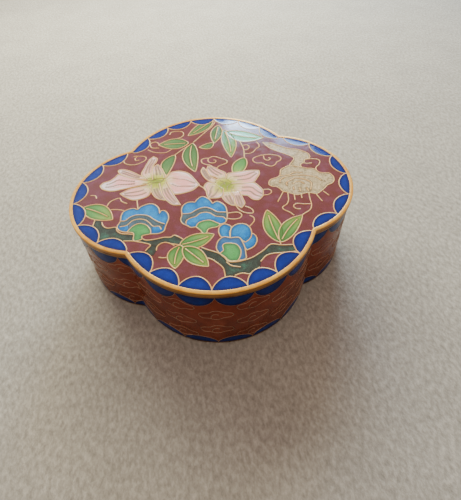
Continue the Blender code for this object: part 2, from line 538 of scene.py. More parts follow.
def glassy(material, shader, colour, roughness=0.10, grains=0.5, edge=None, edge_width=0.6, gloss=0.5):
    """Finish a colour as fired enamel. The edge is the colour next to a wire."""
    shader.inputs["Specular IOR Level"].default_value = gloss
    where = in_millimetres(material)
    grain = noise(material, where, 3.2, 3.0, 0.75)
    light_grain = spread(material, grain, 0.32, 0.68, 1.0 - grains * 0.5, 1.0 + grains * 0.45)
    colour = blend_colours(material, 1.0, colour, light_grain, "MULTIPLY")
    if edge:
        distance = put(material, "ShaderNodeAttribute")
        distance.attribute_name = "from_wire"
        nearness = spread(material, distance.outputs["Fac"], WIRE_EDGE, WIRE_EDGE + edge_width, 0.85, 0.0)
        colour = blend_colours(material, nearness, colour, edge)
    cells = put(material, "ShaderNodeTexVoronoi", Scale=0.75)
    link(material, where, cells.inputs["Vector"])
    pits = spread(material, cells.outputs["Distance"], 0.05, 0.1, 0.6, 0.0)
    rare = spread(material, noise(material, where, 0.28, 1.0), 0.5, 0.56, 0.0, 1.0)
    colour = blend_colours(material, calculate(material, "MULTIPLY", pits, rare), colour, PIT_COLOUR)
    link(material, colour, shader.inputs["Base Color"])
    swirl = noise(material, where, 0.45, 3.0)
    link(material, spread(material, swirl, 0.3, 0.7, roughness - 0.03, roughness + 0.04),
         shader.inputs["Roughness"])
    bump(material, shader, noise(material, where, 0.35, 2.0, 0.4), 0.012, 0.5)


def plain_enamel(name, shades, cloud=0.22, **finish):
    """One enamel, cloudy between a dark, a middle and a light shade."""
    material, shader = new_material(name)
    clouds = noise(material, in_millimetres(material), cloud, 5.0, 0.6)
    stops = zip((0.32, 0.5, 0.68), shades)
    glassy(material, shader, ramp(material, clouds, list(stops)), **finish)
    return material


brick = plain_enamel("brick_enamel",
                     [(0.135, 0.036, 0.028), (0.145, 0.036, 0.042), (0.170, 0.048, 0.074)],
                     cloud=0.28)
russet = plain_enamel("russet_enamel",
                      [(0.140, 0.026, 0.013), (0.180, 0.036, 0.017), (0.220, 0.048, 0.023)],
                      roughness=0.2, gloss=0.08)
turquoise = plain_enamel("turquoise_enamel",
                         [(0.02, 0.17, 0.22), (0.03, 0.23, 0.29), (0.05, 0.30, 0.36)], grains=0.8)
print("grounds mixed")

# %% [markdown]
# ## The tray and the lid's panel
#
# The tray's wall is russet outside. Inside and underneath it has counter-enamel, a plain turquoise
# that stops the copper from warping in the kiln. The lid's panel lies a little below the top of its
# brass band, so that the wires on it end just below the band's top. Both are swept like the bands.


# %% Make the tray and the panel
def dress_ground(piece, outer, plain, is_outer, *nodes):
    """Put one enamel on the faces that show and the other on the plain ones."""
    dress(piece, outer, "enamel", *nodes)
    piece.data.materials.append(plain)
    for face in piece.data.polygons:
        face.material_index = 0 if is_outer(face) else 1


def stands_outside(face):
    """True for a face of the wall that looks away from the middle of the box."""
    centre = np.array(face.center[:2]) / MM
    nearest = np.argmin(np.linalg.norm(EDGE - centre, axis=1))
    return abs(face.normal.z) < 0.9 and np.dot(np.array(face.normal[:2]), OUTWARD[nearest]) > 0


FACE = 29.36
FLOOR_TOP = 2.6
tray = sweep("tray", [(0.9, FOOT_TOP), (0.62, 1.06), (WALL_INSET, 1.25), (WALL_INSET, WALL_TOP),
                      (INNER_WALL, WALL_TOP), (INNER_WALL, 3.5), (2.64, 2.9), (3.1, FLOOR_TOP)])
dress_ground(tray, russet, turquoise, stands_outside, "body")
panel = sweep("lid_ground", [(1.0, 28.35), (1.0, FACE)])
dress_ground(panel, brick, turquoise, lambda face: face.normal.z > 0.5, "lid_panel")


# %% [markdown]
# ## How a cell and its wires are drawn
#
# A cell of enamel lies between two sides that share their ends, as a leaf does. So each cell is a
# sheet of squares whose rows run from one side to the other. The same two sides are then followed
# by wires, which hide the sheet's edge. A drawing on the lid is in millimetres across and back. One
# on the wall is in millimetres round the box and up, and is bent round it only when its mesh is made.

# %% Write the helpers that draw lines
def even_steps(line, count):
    """The same line with evenly spaced points."""
    lengths = np.linalg.norm(np.diff(line, axis=0), axis=1)
    walked = np.concatenate([[0.0], np.cumsum(lengths)])
    places = np.linspace(0.0, walked[-1], count)
    return np.column_stack([np.interp(places, walked, line[:, k]) for k in (0, 1)])


def smooth_line(points, gap=0.35):
    """A smooth line through a few points; it closes where the last point repeats the first."""
    points = np.array(points, float)
    closed = np.allclose(points[0], points[-1])
    before = points[-2] if closed else 2 * points[0] - points[1]
    after = points[1] if closed else 2 * points[-1] - points[-2]
    knots = np.vstack([before, points, after])
    times = np.concatenate([[0.0], np.cumsum(np.linalg.norm(np.diff(knots, axis=0), axis=1))])
    slopes = (knots[2:] - knots[:-2]) / (times[2:] - times[:-2])[:, None]
    share = np.linspace(0.0, 1.0, 16, endpoint=False)[:, None]
    parts = []
    for k in range(len(points) - 1):
        span = times[k + 2] - times[k + 1]
        start = (1 + 2 * share) * (1 - share) ** 2 * points[k]
        end = share ** 2 * (3 - 2 * share) * points[k + 1]
        leave = share * (1 - share) ** 2 * span * slopes[k]
        arrive = share ** 2 * (share - 1) * span * slopes[k + 1]
        parts.append(start + end + leave + arrive)
    line = np.vstack(parts + [points[-1:]])
    length = np.linalg.norm(np.diff(line, axis=0), axis=1).sum()
    return even_steps(line, max(4, int(length / gap) + 1))


def leaf_sides(base, tip, width, bend=0.0, widest=0.45, plump=0.8):
    """The two sides and the middle line of a leaf, from its base to its tip."""
    base = np.array(base, float)
    run = np.array(tip, float) - base
    length = np.linalg.norm(run)
    across = np.array([-run[1], run[0]]) / length
    share = np.linspace(0.0, 1.0, max(9, int(length / 0.35)))[:, None]
    middle = base + share * run + 4 * bend * share * (1 - share) * across
    power = math.log(0.5) / math.log(widest)
    half = width / 2 * np.sin(math.pi * share ** power).clip(0.0) ** plump * across
    return middle + half, middle - half, middle


# %% Write the helpers that lay enamel
# The surface sinks away from a wire over the dish's width. A flower's span is the reach of 1.
DISH_WIDTH = 0.4
FLOWER_SPAN = 16
SHEET_DEPTH = 0.1


def on_lid(points, rise):
    """Points of a drawing on the lid, in space."""
    return np.column_stack([points, FACE + rise * np.ones(len(points))])


def on_wall(points, rise):
    """Points of a drawing on the wall, in space."""
    return np.column_stack([border(points[:, 0], WALL_INSET - rise, WALL_TRACK), points[:, 1]])


def fill_cell(side_a, side_b, surface, rise, dish=0.02, heart=(0.0, 0.0), bare=0.0, rows=8, inner=()):
    """A sheet of enamel between two sides with as many points.

    The heart is where a flower opens, and the inner lines are wires that cross the sheet. Bare is
    how far the nearest wire lies beyond the sides.
    """
    around = np.vstack([side_a, side_b[::-1]])
    following = np.roll(around, -1, axis=0)
    if np.sum(around[:, 0] * following[:, 1] - around[:, 1] * following[:, 0]) < 0:
        side_a, side_b = side_b, side_a
    bpy.ops.object.select_all(action="DESELECT")
    bpy.ops.mesh.primitive_grid_add(x_subdivisions=len(side_a) - 1, y_subdivisions=rows, size=2.0)
    sheet = bpy.context.object
    spots = points_of(sheet.data)
    step = (spots[:, 0] + 1) / 2 * (len(side_a) - 1)
    share = (1 - np.cos((spots[:, 1] + 1) / 2 * math.pi)) / 2
    index = np.arange(len(side_a))
    near = np.column_stack([np.interp(step, index, side_a[:, k]) for k in (0, 1)])
    far = np.column_stack([np.interp(step, index, side_b[:, k]) for k in (0, 1)])
    plan = near + (far - near) * share[:, None]
    gap = bare + np.linalg.norm(plan[:, None, :] - around[None, :, :], axis=2).min(axis=1)
    for line in inner:
        gap = np.minimum(gap, np.linalg.norm(plan[:, None, :] - line[None, :, :], axis=2).min(axis=1))
    level = rise - dish * (1 - np.exp(-gap / DISH_WIDTH))
    sheet.data.vertices.foreach_set("co", (surface(plan, level) * MM).ravel())
    reach = np.linalg.norm(plan - heart, axis=1) / FLOWER_SPAN
    for name, value in (("from_wire", gap), ("reach", reach)):
        mark = sheet.data.attributes.new(name, "FLOAT", "POINT")
        mark.data.foreach_set("value", value)
    return sheet


def join_cells(name, sheets, material):
    """Join sheets of one enamel, and give them thickness downwards."""
    choose(*sheets)
    bpy.ops.object.join()
    cells = bpy.context.object
    cells.name = name
    bpy.ops.object.mode_set(mode="EDIT")
    bpy.ops.mesh.select_all(action="SELECT")
    bpy.ops.mesh.remove_doubles(threshold=1e-7)
    bpy.ops.object.mode_set(mode="OBJECT")
    # Where a side bends back, the sheet folds over itself, and its faces there look down.
    folded = [face for face in cells.data.polygons if face.normal.z < -0.5]
    for face in folded:
        face.flip()
    cells.data.update()
    print(name, len(folded), "folded faces turned up")
    bpy.ops.object.shade_smooth_by_angle(angle=math.radians(40))
    depth = cells.modifiers.new("depth", "SOLIDIFY")
    depth.thickness = SHEET_DEPTH * MM
    depth.offset = -1.0
    bpy.ops.object.modifier_apply(modifier="depth")
    dress(cells, material, "enamel")


# %% [markdown]
# ## What lies over what
#
# The picture is drawn from the back to the front: clouds and stems first, then the branch, the pine,
# the leaves and the flowers, and the border last. A real maker bends each wire only up to the next
# one. Here a wire is laid whole, and when a new cell comes over it, the part that the cell covers is
# cut out again. The later cells also lie a few hundredths of a millimetre higher, and only cells of
# the same kind, such as two leaves of one spray, share a level.


# %% Write the helpers that cut and lay wires
# A line is cut in steps of this length, and a piece of only a few steps is dropped.
CUT_STEP = 0.06
FEWEST_STEPS = 8


def inside(points, outline):
    """True for each point that lies inside a closed outline."""
    x, y = points[:, :1], points[:, 1:]
    x0, y0 = outline[:, 0], outline[:, 1]
    x1, y1 = np.roll(x0, -1), np.roll(y0, -1)
    crosses = (y0 > y) != (y1 > y)
    at = x0 + (y - y0) * (x1 - x0) / np.where(y1 == y0, 1e-9, y1 - y0)
    return (crosses & (x < at)).sum(axis=1) % 2 == 1


def hide_under(lines, outline):
    """Cut out of each line what lies inside the outline."""
    kept = []
    for line in lines:
        apart = (line.min(axis=0) > outline.max(axis=0)) | (line.max(axis=0) < outline.min(axis=0))
        length = np.linalg.norm(np.diff(line, axis=0), axis=1).sum()
        fine = even_steps(line, int(length / CUT_STEP) + 2)
        free = np.ones(len(fine), bool) if apart.any() else ~inside(fine, outline)
        if free.all():
            kept.append(line)
            continue
        cuts = np.flatnonzero(np.diff(free.astype(int))) + 1
        for run, is_free in zip(np.split(fine, cuts), np.split(free, cuts)):
            if is_free[0] and len(run) > FEWEST_STEPS:
                kept.append(even_steps(run, max(4, len(run) // 6)))
    lines[:] = kept


def lay_wires(name, lines, surface, width, material, corners=2, proud=0.12):
    """Lay wires along lines, sunk until they stand proud by so much, and turn them into a mesh."""
    curve = bpy.data.curves.new(name, "CURVE")
    curve.dimensions = "3D"
    curve.bevel_depth = width / 2 * MM
    curve.bevel_resolution = corners
    curve.use_fill_caps = True
    for line in lines:
        track = surface(line, proud - width / 2) * MM
        spline = curve.splines.new("POLY")
        closed = np.allclose(line[0], line[-1])
        track = track[:-1] if closed else track
        spline.points.add(len(track) - 1)
        spline.points.foreach_set("co", np.column_stack([track, np.ones(len(track))]).ravel())
        spline.use_cyclic_u = closed
    wires = bpy.data.objects.new(name, curve)
    bpy.context.scene.collection.objects.link(wires)
    choose(wires)
    bpy.ops.object.convert(target="MESH")
    wires = bpy.context.object
    bpy.ops.object.shade_smooth_by_angle(angle=math.radians(60))
    dress(wires, material, "brass")


border_lines = []
picture_lines = []
fine_lines = []


def draw_cell(side_a, side_b, rise, wired=True, **finish):
    """Lay a cell on the lid over what is drawn there, with a wire along both of its sides."""
    count = max(len(side_a), len(side_b))
    side_a = even_steps(side_a, count)
    side_b = even_steps(side_b, count)
    outline = np.vstack([side_a, side_b[::-1]])
    hide_under(picture_lines, outline)
    hide_under(fine_lines, outline)
    if wired:
        picture_lines.extend([side_a, side_b])
    return fill_cell(side_a, side_b, on_lid, rise, **finish)


print("drawing helpers are ready")

# %% [markdown]
# ## Clouds, stems and tendrils
#
# Gilt lines with no enamel of their own run through the ground: clouds with a curl inside, and the
# stems and tendrils of the plants. No two of them are bent alike, so each is drawn by the few points
# where its direction changes, and a smooth line runs through them.

# %% Draw the clouds on the lid
lid_clouds = [
    [(-2.6, 12.6), (-2.6, 13.9), (-1.5, 14.5), (0.0, 14.4), (1.0, 15.0), (2.3, 14.9), (3.5, 14.0),
     (5.0, 13.0), (6.0, 12.0), (5.8, 10.9), (4.5, 10.3), (3.0, 9.7), (2.0, 8.8), (0.8, 9.6),
     (0.2, 10.5), (-1.2, 11.2), (-2.5, 12.2), (-2.6, 12.6)],
    [(-0.2, 14.3), (-0.4, 12.8), (0.4, 11.8), (1.7, 11.7), (2.3, 12.6), (1.6, 13.2)],
    [(16.0, 12.3), (17.6, 12.8), (19.9, 13.05), (21.8, 12.7), (23.9, 11.7), (24.6, 10.4),
     (23.9, 9.1), (22.8, 8.6), (21.8, 7.3), (20.5, 6.7), (18.9, 7.5), (17.6, 8.8), (16.0, 9.1),
     (14.9, 10.2), (15.0, 11.5), (16.0, 12.3)],
    [(18.9, 12.6), (18.9, 10.7), (19.9, 9.9), (20.9, 10.7), (20.4, 11.4)],
    [(32.3, 8.3), (34.4, 8.3), (36.5, 7.8), (37.2, 6.7), (36.3, 4.9), (34.9, 3.6), (34.7, 1.5)],
    [(31.4, 6.9), (32.3, 6.2), (34.2, 6.1)],
    [(-13.0, 30.4), (-12.3, 31.8), (-10.5, 32.2), (-8.3, 31.5), (-7.8, 30.0), (-8.5, 28.4),
     (-10.0, 27.7)],
    [(-17.0, 24.4), (-17.3, 26.0), (-18.5, 26.8), (-20.0, 26.0), (-20.0, 24.4), (-19.4, 23.5),
     (-17.0, 23.0)],
    [(-29.3, 17.8), (-28.7, 16.3), (-27.0, 15.3), (-25.0, 15.1), (-23.0, 16.0), (-21.8, 17.0),
     (-21.6, 18.4), (-22.5, 19.2), (-24.0, 19.5), (-26.0, 19.7)],
    [(-24.6, 19.4), (-25.4, 18.2), (-24.9, 17.2), (-23.9, 17.4)],
    [(12.7, 14.8), (14.5, 14.7), (15.9, 15.4), (17.0, 16.8), (18.3, 17.8), (18.5, 19.4), (17.9, 20.8)],
    [(12.8, 19.6), (14.2, 19.6), (14.9, 18.4), (14.0, 17.0), (12.9, 16.9)],
]
picture_lines.extend(smooth_line(cloud) for cloud in lid_clouds)
print(len(lid_clouds), "lines of cloud on the lid")

# %% Draw the stems and tendrils
stems = [
    [(4.8, 36.2), (3.2, 33.2), (0.0, 29.6), (-4.7, 24.2)],
    [(-4.9, 23.9), (-8.5, 21.0), (-11.5, 18.2)],
    [(11.9, 23.0), (12.7, 18.0), (12.2, 12.6)],
    [(-33.4, -3.7), (-32.5, -1.8), (-31.0, -0.9), (-29.6, -0.6), (-29.0, -2.0), (-27.2, -3.4)],
    [(-32.0, -5.2), (-30.0, -5.5), (-28.0, -6.2)],
    [(-24.3, -1.8), (-24.1, -3.5), (-23.8, -6.2)],
    [(-38.8, 2.0), (-37.4, 1.8), (-36.8, 0.4)],
    [(-4.9, 1.6), (-3.2, -0.2), (-2.2, -2.6)],
    [(-18.4, -23.0), (-18.2, -21.8), (-17.2, -20.8), (-15.7, -20.6), (-14.5, -21.2), (-13.4, -22.1)],
    [(-17.8, -25.5), (-16.9, -25.8), (-15.7, -25.9)],
    [(9.3, -14.2), (10.3, -15.2), (10.2, -16.6), (8.6, -18.4)],
    [(2.6, -12.3), (6.0, -12.4), (7.0, -13.5), (6.4, -14.7), (4.7, -15.0), (2.2, -14.3)],
    [(14.8, -4.1), (17.3, -4.2), (17.9, -5.2), (17.0, -6.3), (14.8, -6.5)],
    [(-21.0, 22.6), (-19.0, 21.0), (-16.5, 20.1), (-14.5, 20.1), (-12.6, 21.5)],
    [(16.0, -25.4), (15.9, -26.6)],
    [(5.8, -9.5), (6.8, -11.7), (8.4, -13.0), (10.4, -13.4), (10.6, -12.2), (9.7, -11.0), (8.6, -10.3)],
]
picture_lines.extend(smooth_line(stem) for stem in stems)
print(len(stems), "stems drawn")

# %% [markdown]
# ## The branch
#
# A slate-green branch runs along the front of the picture and carries the flowers. Its two edges
# aren't parallel: it has knees, a side shoot and wide places, and the scallops of the border cut it
# off below. So both edges are drawn, and only the parts of them that carry a wire get one.

# %% Draw the branch
slate = plain_enamel("slate_enamel",
                     [(0.030, 0.033, 0.031), (0.046, 0.060, 0.048), (0.050, 0.140, 0.100)],
                     cloud=0.34, edge=(0.038, 0.034, 0.026), edge_width=0.8, grains=1.0)

upper_left = [(-35.4, -8.5), (-34.3, -10.0), (-33.8, -11.5), (-32.5, -12.6), (-30.0, -12.7), (-29.7, -14.0),
              (-28.4, -15.3), (-26.5, -15.8), (-25.0, -16.2), (-23.6, -17.2), (-22.2, -18.3),
              (-21.3, -18.9), (-19.2, -19.0), (-16.3, -18.7), (-14.2, -18.9), (-13.4, -18.3),
              (-12.2, -19.0), (-10.7, -20.4)]
lower_left = [(-36.4, -8.5), (-36.8, -11.0), (-35.3, -13.3), (-34.4, -16.8), (-30.4, -16.9),
              (-27.6, -18.2), (-25.1, -18.6), (-23.4, -19.2), (-21.6, -19.9), (-20.0, -20.9), (-18.2, -21.6),
              (-17.2, -20.8), (-15.7, -20.6), (-14.5, -21.2), (-11.9, -22.1)]
upper_right = [(-6.0, -23.9), (-4.5, -24.9), (-2.8, -25.8), (-1.3, -26.8), (-0.1, -28.3),
               (0.8, -29.8), (3.2, -30.2), (5.5, -29.9), (7.2, -29.5), (9.0, -28.6), (11.0, -27.4),
               (13.2, -25.8), (16.0, -26.5), (19.7, -26.9), (21.5, -27.0)]
lower_right = [(-7.0, -26.3), (-5.0, -27.7), (-3.65, -28.3), (-2.2, -29.8), (-1.3, -30.9),
               (-0.8, -32.0), (-0.7, -34.5), (1.8, -34.4), (3.8, -34.0), (5.9, -34.5), (8.6, -32.9),
               (9.3, -31.1), (11.2, -29.4), (13.3, -29.0), (15.1, -29.1), (20.0, -29.3)]
shoot_left = [(-20.0, -20.7), (-20.7, -21.8), (-21.4, -22.7), (-20.6, -24.4)]
shoot_right = [(-17.6, -21.1), (-18.2, -21.8), (-18.4, -23.0), (-19.2, -24.6)]

branch = [
    draw_cell(smooth_line(shoot_left), smooth_line(shoot_right), 0.020, False, dish=0.008),
    draw_cell(smooth_line(upper_left), smooth_line(lower_left), 0.026, False, dish=0.008),
    draw_cell(smooth_line(upper_right), smooth_line(lower_right), 0.026, False, dish=0.008),
]
branch_edges = [upper_left[1:9], upper_left[10:], lower_left[5:10] + shoot_left[1:3],
                [shoot_right[2], shoot_right[1]] + lower_left[11:], upper_right, lower_right[1:7],
                lower_left[:2], lower_right[7:11], lower_right[11:],
                [(0.2, -29.8), (1.35, -31.2), (3.7, -32.0)]]
picture_lines.extend(smooth_line(edge) for edge in branch_edges)
join_cells("lid_branch", branch, slate)

# %% [markdown]
# ## The pine
#
# On the right a pine leans in from the back: a bent trunk, and a cushion of needles shown as one
# rounded mass with gold lines in it and short needles below. Its enamel is beige with dark grains.

# %% Draw the pine's trunk and crown
pine_beige = plain_enamel("pine_enamel",
                          [(0.24, 0.17, 0.095), (0.48, 0.36, 0.20), (0.64, 0.48, 0.31)],
                          cloud=1.1, edge=(0.17, 0.10, 0.045), edge_width=0.35, grains=1.0)
needles = [
    [(21.5, -5.9), (20.2, -7.9), (18.8, -10.0)],
    [(22.8, -6.6), (22.2, -9.8), (21.3, -11.4), (19.7, -12.5), (19.9, -13.5), (21.3, -14.8),
     (22.3, -16.2)],
    [(25.2, -4.3), (24.7, -7.0), (24.2, -10.1)],
    [(27.0, -5.1), (26.8, -7.4), (26.5, -9.6)],
    [(29.4, -6.9), (28.9, -10.1), (28.6, -13.0), (27.6, -14.8), (25.2, -16.2), (24.4, -16.9)],
    [(28.6, -12.5), (26.5, -12.2), (24.2, -11.7), (23.1, -12.5), (23.6, -13.7), (24.9, -14.05)],
    [(31.4, -8.8), (31.8, -10.3), (32.3, -11.9)],
    [(33.9, -7.7), (34.5, -8.7), (35.1, -9.8)],
]
picture_lines.extend(smooth_line(needle) for needle in needles)

trunk_left = smooth_line([(20.2, 20.2), (21.3, 17.5), (22.8, 15.4), (24.7, 13.8), (26.5, 12.3),
                          (28.1, 10.9), (28.9, 9.6), (27.8, 7.8), (26.5, 6.2), (26.0, 4.6)])
trunk_right = smooth_line([(22.6, 19.6), (24.7, 18.0), (26.5, 16.5), (28.4, 15.2), (30.7, 14.4),
                           (32.8, 13.0), (34.2, 11.5), (34.6, 10.2), (34.2, 8.8), (32.3, 8.3),
                           (31.8, 7.0), (30.3, 6.0), (30.2, 4.0)])
trunk = draw_cell(trunk_left, trunk_right, 0.030, dish=0.01)
crown_top = smooth_line([(17.7, -2.0), (18.1, -0.6), (18.9, 0.3), (20.7, 0.8), (22.0, 1.5),
                         (22.6, 3.0), (23.1, 4.4), (24.7, 5.4), (26.5, 6.0), (28.4, 5.4),
                         (30.2, 4.6), (31.8, 3.8), (34.2, 3.0), (35.5, 1.0), (38.4, 0.2),
                         (39.2, -1.7)])
crown_foot = smooth_line([(17.7, -2.0), (18.6, -3.0), (19.9, -3.3), (20.7, -4.3), (21.5, -5.9),
                          (22.8, -6.4), (23.9, -7.2), (25.5, -8.0), (27.6, -7.7), (29.7, -7.7),
                          (31.5, -8.5), (33.6, -7.3), (34.9, -6.3), (36.3, -5.1), (37.8, -4.6),
                          (38.9, -3.3), (39.2, -1.7)])
crown_lines = [
    [(22.3, 1.5), (25.2, 1.6), (27.0, 2.4), (29.7, 2.0)],
    [(23.4, -3.3), (23.4, -2.2), (24.7, -1.2), (26.5, -0.4), (28.6, -0.9), (30.6, -2.2),
     (31.3, -3.4), (31.0, -4.6), (30.2, -6.4)],
    [(21.4, -1.6), (22.0, -0.2), (24.2, 0.8), (27.0, 1.0), (30.4, 0.4), (33.6, -1.0), (34.8, -2.8)],
    [(25.4, -2.8), (26.6, -2.1), (28.2, -2.4), (28.9, -3.4)],
    [(25.2, -4.3), (25.0, -5.6)], [(27.0, -5.1), (26.9, -6.6)], [(29.2, -5.4), (29.4, -6.9)],
]
crown_lines = [smooth_line(line) for line in crown_lines]
crown = draw_cell(crown_top, crown_foot, 0.045, dish=0.01, rows=36, inner=crown_lines)
picture_lines.extend(crown_lines)
join_cells("lid_pine", [trunk, crown], pine_beige)

# %% [markdown]
# ## Leaves
#
# The leaves are long ovals with a pointed tip, most with a wire for the midrib. Their enamel runs
# from green at the stalk to yellow-green at the tip, because two powders were laid side by side and
# melted into each other. The sheet's own map, which runs from base to tip, carries that change.


# %% Mix enamels that change along a cell
def along_cell(material, streak):
    """The cell's map from base to tip, wavering by some fine streaks."""
    sheet = put(material, "ShaderNodeUVMap")
    sheet.uv_map = "UVMap"
    stretched = put(material, "ShaderNodeMapping", Scale=(1.3, 7.0, 1.0))
    link(material, sheet.outputs["UV"], stretched.inputs["Vector"])
    streaks = noise(material, stretched.outputs["Vector"], 1.0, 3.0, 0.6)
    parts = put(material, "ShaderNodeSeparateXYZ")
    link(material, sheet.outputs["UV"], parts.inputs["Vector"])
    waver = spread(material, streaks, 0.3, 0.7, -streak / 2, streak / 2)
    return calculate(material, "ADD", parts.outputs["X"], waver), streaks


def shaded_enamel(name, stops, streak=0.35, **finish):
    """An enamel whose colour runs along the cell's map, with fine streaks the same way."""
    material, shader = new_material(name)
    along, _ = along_cell(material, streak)
    glassy(material, shader, ramp(material, along, stops), **finish)
    return material


leaf_green = shaded_enamel("leaf_enamel",
                           [(0.0, (0.070, 0.22, 0.055)), (0.4, (0.115, 0.30, 0.075)),
                            (0.7, (0.27, 0.42, 0.085)), (1.0, (0.42, 0.49, 0.09))],
                           edge=(0.06, 0.11, 0.025), edge_width=0.9, grains=0.5)
deep_leaf = shaded_enamel("deep_leaf_enamel",
                          [(0.0, (0.06, 0.15, 0.05)), (0.5, (0.095, 0.20, 0.065)),
                           (1.0, (0.21, 0.29, 0.08))],
                          edge=(0.055, 0.085, 0.03), edge_width=0.8, grains=0.5)
mint = shaded_enamel("mint_enamel",
                     [(0.0, (0.09, 0.34, 0.17)), (0.5, (0.12, 0.45, 0.22)), (1.0, (0.20, 0.50, 0.27))],
                     edge=(0.12, 0.24, 0.12), grains=0.3)
print("greens mixed")

# %% Draw the leaves
# Each leaf is its base, its tip, its width, its bend, and whether it has a midrib.
green_leaves = [
    ((15.9, -25.5), (14.8, -12.9), 5.2, 0.3, True),
    ((16.1, -25.5), (24.7, -16.6), 4.6, 0.7, True),
    ((-40.5, -3.0), (-31.2, -9.4), 6.0, 0.5, True),
    ((-11.9, -22.1), (-2.0, -19.8), 4.95, -0.37, True),
    ((-11.7, -22.2), (-13.6, -29.9), 4.6, -0.6, True),
    ((-11.0, -23.0), (-4.7, -30.5), 4.9, 0.0, True),
    ((12.3, 12.6), (7.6, 3.4), 4.6, -0.4, False),
    ((7.3, 30.2), (7.7, 13.7), 5.0, 0.7, True),
]
deep_leaves = [
    ((-5.0, 23.8), (-5.2, 8.1), 5.4, -1.2, True),
    ((-11.6, 18.1), (-14.7, 7.6), 4.2, -1.3, False),
    ((5.6, 33.4), (2.8, 22.7), 4.2, 0.0, True),
    ((2.6, 22.7), (-2.8, 21.0), 3.0, 0.8, False),
    ((3.9, 37.2), (-6.2, 28.6), 4.6, 0.2, True),
    ((-6.4, 24.3), (-17.0, 24.9), 6.0, 0.0, True),
]
mint_leaves = [((7.9, 28.7), (20.9, 22.8), 6.2, -1.1, True)]


def draw_leaf(base, tip, width, bend, veined):
    """A leaf's cell, with wires along its sides and its midrib."""
    left, right, middle = leaf_sides(base, tip, width, bend)
    ribs = [middle[len(middle) // 10: -len(middle) // 6]] if veined else []
    sheet = draw_cell(left, right, 0.045, rows=14, inner=ribs)
    picture_lines.extend(ribs)
    return sheet


join_cells("lid_leaves", [draw_leaf(*leaf) for leaf in green_leaves], leaf_green)
join_cells("lid_deep_leaves", [draw_leaf(*leaf) for leaf in deep_leaves], deep_leaf)
join_cells("lid_mint_leaves", [draw_leaf(*leaf) for leaf in mint_leaves], mint)

# %% [markdown]
# ## Lilies
#
# Two pale lilies fill the middle of the lid. Their petals are broad or narrow, straight or curled
# back, so each is drawn by its two sides, from the throat to the tip. The throat is laid first,
# with no wire of its own, and the petals in front come last. The colour follows the distance from
# the throat: yellow-green, then pink and nearly white in streaks that run along the petal. Two thin
# wires mark the folds of each petal, and short ones in the throat are the stamens.

# %% Mix the petals' enamel
lily_pink, shader = new_material("lily_enamel")
_, streaks = along_cell(lily_pink, 0.3)
from_throat = put(lily_pink, "ShaderNodeAttribute")
from_throat.attribute_name = "reach"
waver = spread(lily_pink, streaks, 0.3, 0.7, -0.11, 0.11)
stage_of_petal = calculate(lily_pink, "ADD", from_throat.outputs["Fac"], waver)
petal = ramp(lily_pink, stage_of_petal,
             [(0.05, (0.26, 0.30, 0.035)), (0.16, (0.48, 0.45, 0.06)), (0.26, (0.72, 0.52, 0.26)),
              (0.38, (0.90, 0.38, 0.33)), (0.75, (0.90, 0.40, 0.40)), (1.0, (0.78, 0.60, 0.68))])
pale_streaks = spread(lily_pink, streaks, 0.46, 0.62, 0.0, 0.85)
away = spread(lily_pink, stage_of_petal, 0.22, 0.40, 0.0, 1.0)
pale_streaks = calculate(lily_pink, "MULTIPLY", pale_streaks, away)
petal = blend_colours(lily_pink, pale_streaks, petal, (0.97, 0.80, 0.78))
glassy(lily_pink, shader, petal, edge=(0.27, 0.19, 0.12), edge_width=0.28, grains=0.15)
print("petal enamel mixed")

# %% List the cells of the left lily by their two sides, the throat first
left_lily = [
    ([(-22.0, 5.4), (-20.8, 7.6), (-18.0, 8.2), (-15.0, 7.2), (-14.0, 4.6)],
     [(-22.0, 5.4), (-20.2, 2.8), (-17.4, 2.2), (-15.0, 2.8), (-14.0, 4.6)]),
    ([(-21, 6.2), (-24, 7.4), (-28, 9.4), (-30.6, 10.9), (-31.7, 9.6), (-33.4, 8.1), (-35.2, 7.5),
      (-36.3, 6.1)],
     [(-21, 4.6), (-25, 4), (-29, 3.3), (-31.8, 3), (-33.6, 3.4), (-35.4, 4.5), (-36.3, 6.1)]),
    ([(-21, 7.6), (-23.2, 8.9), (-26, 11.3), (-28.2, 12.8), (-30.2, 13.3), (-30.9, 12.7)],
     [(-21, 6.6), (-23.5, 7.4), (-26, 8), (-28.2, 9.5), (-30.2, 11.1), (-30.9, 12.7)]),
    ([(-21.6, 7), (-23, 9.6), (-22.2, 12.4), (-21.2, 15), (-20.3, 17), (-19, 18.5)],
     [(-18.6, 7), (-19.2, 10), (-19.2, 13.4), (-18.2, 15), (-17.7, 17), (-19, 18.5)]),
    ([(-19.4, 6.5), (-19.4, 10), (-19.2, 12.6), (-17.6, 14)],
     [(-15, 6.4), (-15.4, 8.6), (-16.2, 11.4), (-17.6, 14)]),
    ([(-15.2, 6.4), (-13.2, 9), (-10.6, 9.3), (-8, 8.1), (-6.2, 5.4), (-4.4, 1.5)],
     [(-14.8, 3.4), (-13.4, 0.2), (-12.4, -1.6), (-9, -1.4), (-6.6, -0.6), (-4.4, 1.5)]),
    ([(-20.6, 4), (-23.5, 3.6), (-26.5, 3.2), (-29.6, 1.4)],
     [(-19.8, 2.4), (-20.4, -0.6), (-22.4, -1.9), (-25.4, -2.1), (-28, -0.4), (-29.6, 1.4)]),
    ([(-19.8, 4), (-19.9, 1.4), (-18.9, -1.4), (-17.6, -2.9), (-15.4, -3.8)],
     [(-17.2, 4), (-16.8, 1), (-16.2, -1.6), (-15.4, -3.8)]),
    ([(-17.2, 4.4), (-16.7, 1.2), (-16.2, -1.4), (-15, -4), (-13.2, -6.1), (-10.9, -6.6)],
     [(-14.8, 4.6), (-14, 2), (-13.2, -0.6), (-12.2, -3.4), (-10.9, -6.6)]),
]

